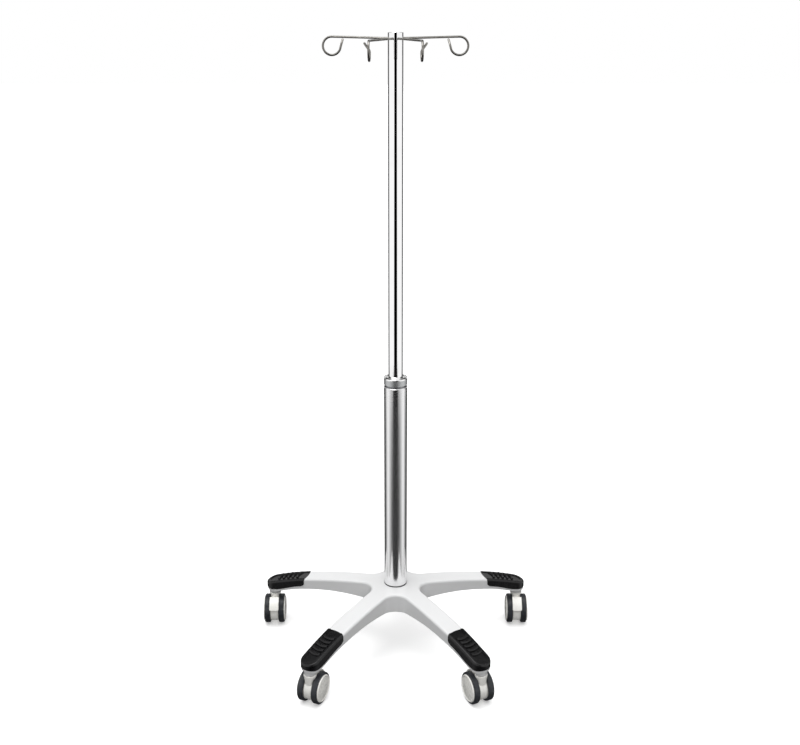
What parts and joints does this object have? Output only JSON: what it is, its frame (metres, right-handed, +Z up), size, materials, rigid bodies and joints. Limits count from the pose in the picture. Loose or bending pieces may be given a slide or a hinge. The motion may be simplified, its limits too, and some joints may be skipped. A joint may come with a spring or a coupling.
{
  "type": "infusion stand",
  "caption": "Wheeled infusion stand: star base with ribbed foot pads, braked twin-wheel casters, telescopic column with twist collar, and wire bag hooks.",
  "frame": {"origin": "on the floor under the column axis", "axes": "+Z up along the column; -Y is the stand's front, the leg that points to +Y is the back one"},
  "size_m": [0.6212, 0.5891, 1.3415],
  "materials": {
    "white_paint": "gloss white powder coat",
    "pad_plastic": "soft black, fine grain",
    "satin_steel": "satin",
    "chrome_tube": "mirror",
    "polished_steel": "polished",
    "collar_satin": "satin",
    "hook_wire": "satin nickel",
    "zinc_steel": "zinc plated",
    "bush_plastic": "natural nylon",
    "caster_white": "ivory, satin gloss",
    "tyre_grey": "dark grey polyurethane"
  },
  "bodies": {
    "base": {"star_base": "white_paint", "foot_pad_right": "pad_plastic", "foot_pad_back": "pad_plastic", "foot_pad_left": "pad_plastic", "foot_pad_front_left": "pad_plastic", "foot_pad_front_right": "pad_plastic", "grip_sleeves": "bush_plastic", "caster_stems": "zinc_steel", "lower_tube": "satin_steel", "tube_plug": "zinc_steel", "base_washer": "zinc_steel", "base_bolt": "zinc_steel", "guide_bush": "bush_plastic", "threaded_neck": "zinc_steel", "lock_collet": "bush_plastic"},
    "collar": {"lock_collar": "collar_satin", "collar_bezel": "polished_steel"},
    "mast": {"upper_tube": "chrome_tube", "hook_block": "zinc_steel", "top_cap": "chrome_tube", "mast_glide": "bush_plastic", "hook_back_left": "hook_wire", "hook_front_left": "hook_wire", "hook_front_right": "hook_wire", "hook_back_right": "hook_wire"},
    "swivel_right": {"caster_right_housing": "caster_white", "caster_right_axle": "zinc_steel"},
    "brake_right": {"caster_right_brake_lever": "caster_white"},
    "wheel_right_a": {"caster_right_tyre_a": "tyre_grey", "caster_right_hub_a": "caster_white"},
    "wheel_right_b": {"caster_right_tyre_b": "tyre_grey", "caster_right_hub_b": "caster_white"},
    "swivel_back": {"caster_back_housing": "caster_white", "caster_back_axle": "zinc_steel"},
    "brake_back": {"caster_back_brake_lever": "caster_white"},
    "wheel_back_a": {"caster_back_tyre_a": "tyre_grey", "caster_back_hub_a": "caster_white"},
    "wheel_back_b": {"caster_back_tyre_b": "tyre_grey", "caster_back_hub_b": "caster_white"},
    "swivel_left": {"caster_left_housing": "caster_white", "caster_left_axle": "zinc_steel"},
    "brake_left": {"caster_left_brake_lever": "caster_white"},
    "wheel_left_a": {"caster_left_tyre_a": "tyre_grey", "caster_left_hub_a": "caster_white"},
    "wheel_left_b": {"caster_left_tyre_b": "tyre_grey", "caster_left_hub_b": "caster_white"},
    "swivel_front_left": {"caster_front_left_housing": "caster_white", "caster_front_left_axle": "zinc_steel"},
    "brake_front_left": {"caster_front_left_brake_lever": "caster_white"},
    "wheel_front_left_a": {"caster_front_left_tyre_a": "tyre_grey", "caster_front_left_hub_a": "caster_white"},
    "wheel_front_left_b": {"caster_front_left_tyre_b": "tyre_grey", "caster_front_left_hub_b": "caster_white"},
    "swivel_front_right": {"caster_front_right_housing": "caster_white", "caster_front_right_axle": "zinc_steel"},
    "brake_front_right": {"caster_front_right_brake_lever": "caster_white"},
    "wheel_front_right_a": {"caster_front_right_tyre_a": "tyre_grey", "caster_front_right_hub_a": "caster_white"},
    "wheel_front_right_b": {"caster_front_right_tyre_b": "tyre_grey", "caster_front_right_hub_b": "caster_white"}
  },
  "joints": [
    {"name": "mast_height", "type": "slide", "parent": "base", "child": "mast", "axis": [0, 0, 1], "range_m": [0, 0.36]},
    {"name": "collar_twist", "type": "hinge", "parent": "base", "child": "collar", "pos_m": [0, 0, 0.627], "axis": [0, 0, 1], "range_deg": [0, 90]},
    {"name": "swivel_right", "type": "hinge", "parent": "base", "child": "swivel_right", "pos_m": [0.28532, 0.0927, 0.06], "axis": [0, 0, 1], "continuous": true},
    {"name": "brake_right", "type": "hinge", "parent": "swivel_right", "child": "brake_right", "pos_m": [0.28509, 0.07971, 0.033], "axis": [0.9998, -0.0175, 0], "range_deg": [0, 14]},
    {"name": "wheel_right_a", "type": "hinge", "parent": "swivel_right", "child": "wheel_right_a", "pos_m": [0.28509, 0.07971, 0.033], "axis": [0.9998, -0.0175, 0], "continuous": true},
    {"name": "wheel_right_b", "type": "hinge", "parent": "swivel_right", "child": "wheel_right_b", "pos_m": [0.28509, 0.07971, 0.033], "axis": [0.9998, -0.0175, 0], "continuous": true},
    {"name": "swivel_back", "type": "hinge", "parent": "base", "child": "swivel_back", "pos_m": [0, 0.3, 0.06], "axis": [0, 0, 1], "continuous": true},
    {"name": "brake_back", "type": "hinge", "parent": "swivel_back", "child": "brake_back", "pos_m": [0, 0.287, 0.033], "axis": [1, 0, 0], "range_deg": [0, 14]},
    {"name": "wheel_back_a", "type": "hinge", "parent": "swivel_back", "child": "wheel_back_a", "pos_m": [0, 0.287, 0.033], "axis": [1, 0, 0], "continuous": true},
    {"name": "wheel_back_b", "type": "hinge", "parent": "swivel_back", "child": "wheel_back_b", "pos_m": [0, 0.287, 0.033], "axis": [1, 0, 0], "continuous": true},
    {"name": "swivel_left", "type": "hinge", "parent": "base", "child": "swivel_left", "pos_m": [-0.28532, 0.0927, 0.06], "axis": [0, 0, 1], "continuous": true},
    {"name": "brake_left", "type": "hinge", "parent": "swivel_left", "child": "brake_left", "pos_m": [-0.28509, 0.07971, 0.033], "axis": [0.9998, 0.0175, 0], "range_deg": [0, 14]},
    {"name": "wheel_left_a", "type": "hinge", "parent": "swivel_left", "child": "wheel_left_a", "pos_m": [-0.28509, 0.07971, 0.033], "axis": [0.9998, 0.0175, 0], "continuous": true},
    {"name": "wheel_left_b", "type": "hinge", "parent": "swivel_left", "child": "wheel_left_b", "pos_m": [-0.28509, 0.07971, 0.033], "axis": [0.9998, 0.0175, 0], "continuous": true},
    {"name": "swivel_front_left", "type": "hinge", "parent": "base", "child": "swivel_front_left", "pos_m": [-0.17634, -0.24271, 0.06], "axis": [0, 0, 1], "continuous": true},
    {"name": "brake_front_left", "type": "hinge", "parent": "swivel_front_left", "child": "brake_front_left", "pos_m": [-0.17126, -0.23074, 0.033], "axis": [-0.9205, 0.3907, 0], "range_deg": [0, 14]},
    {"name": "wheel_front_left_a", "type": "hinge", "parent": "swivel_front_left", "child": "wheel_front_left_a", "pos_m": [-0.17126, -0.23074, 0.033], "axis": [-0.9205, 0.3907, 0], "continuous": true},
    {"name": "wheel_front_left_b", "type": "hinge", "parent": "swivel_front_left", "child": "wheel_front_left_b", "pos_m": [-0.17126, -0.23074, 0.033], "axis": [-0.9205, 0.3907, 0], "continuous": true},
    {"name": "swivel_front_right", "type": "hinge", "parent": "base", "child": "swivel_front_right", "pos_m": [0.17634, -0.24271, 0.06], "axis": [0, 0, 1], "continuous": true},
    {"name": "brake_front_right", "type": "hinge", "parent": "swivel_front_right", "child": "brake_front_right", "pos_m": [0.17126, -0.23074, 0.033], "axis": [-0.9205, -0.3907, 0], "range_deg": [0, 14]},
    {"name": "wheel_front_right_a", "type": "hinge", "parent": "swivel_front_right", "child": "wheel_front_right_a", "pos_m": [0.17126, -0.23074, 0.033], "axis": [-0.9205, -0.3907, 0], "continuous": true},
    {"name": "wheel_front_right_b", "type": "hinge", "parent": "swivel_front_right", "child": "wheel_front_right_b", "pos_m": [0.17126, -0.23074, 0.033], "axis": [-0.9205, -0.3907, 0], "continuous": true}
  ]
}
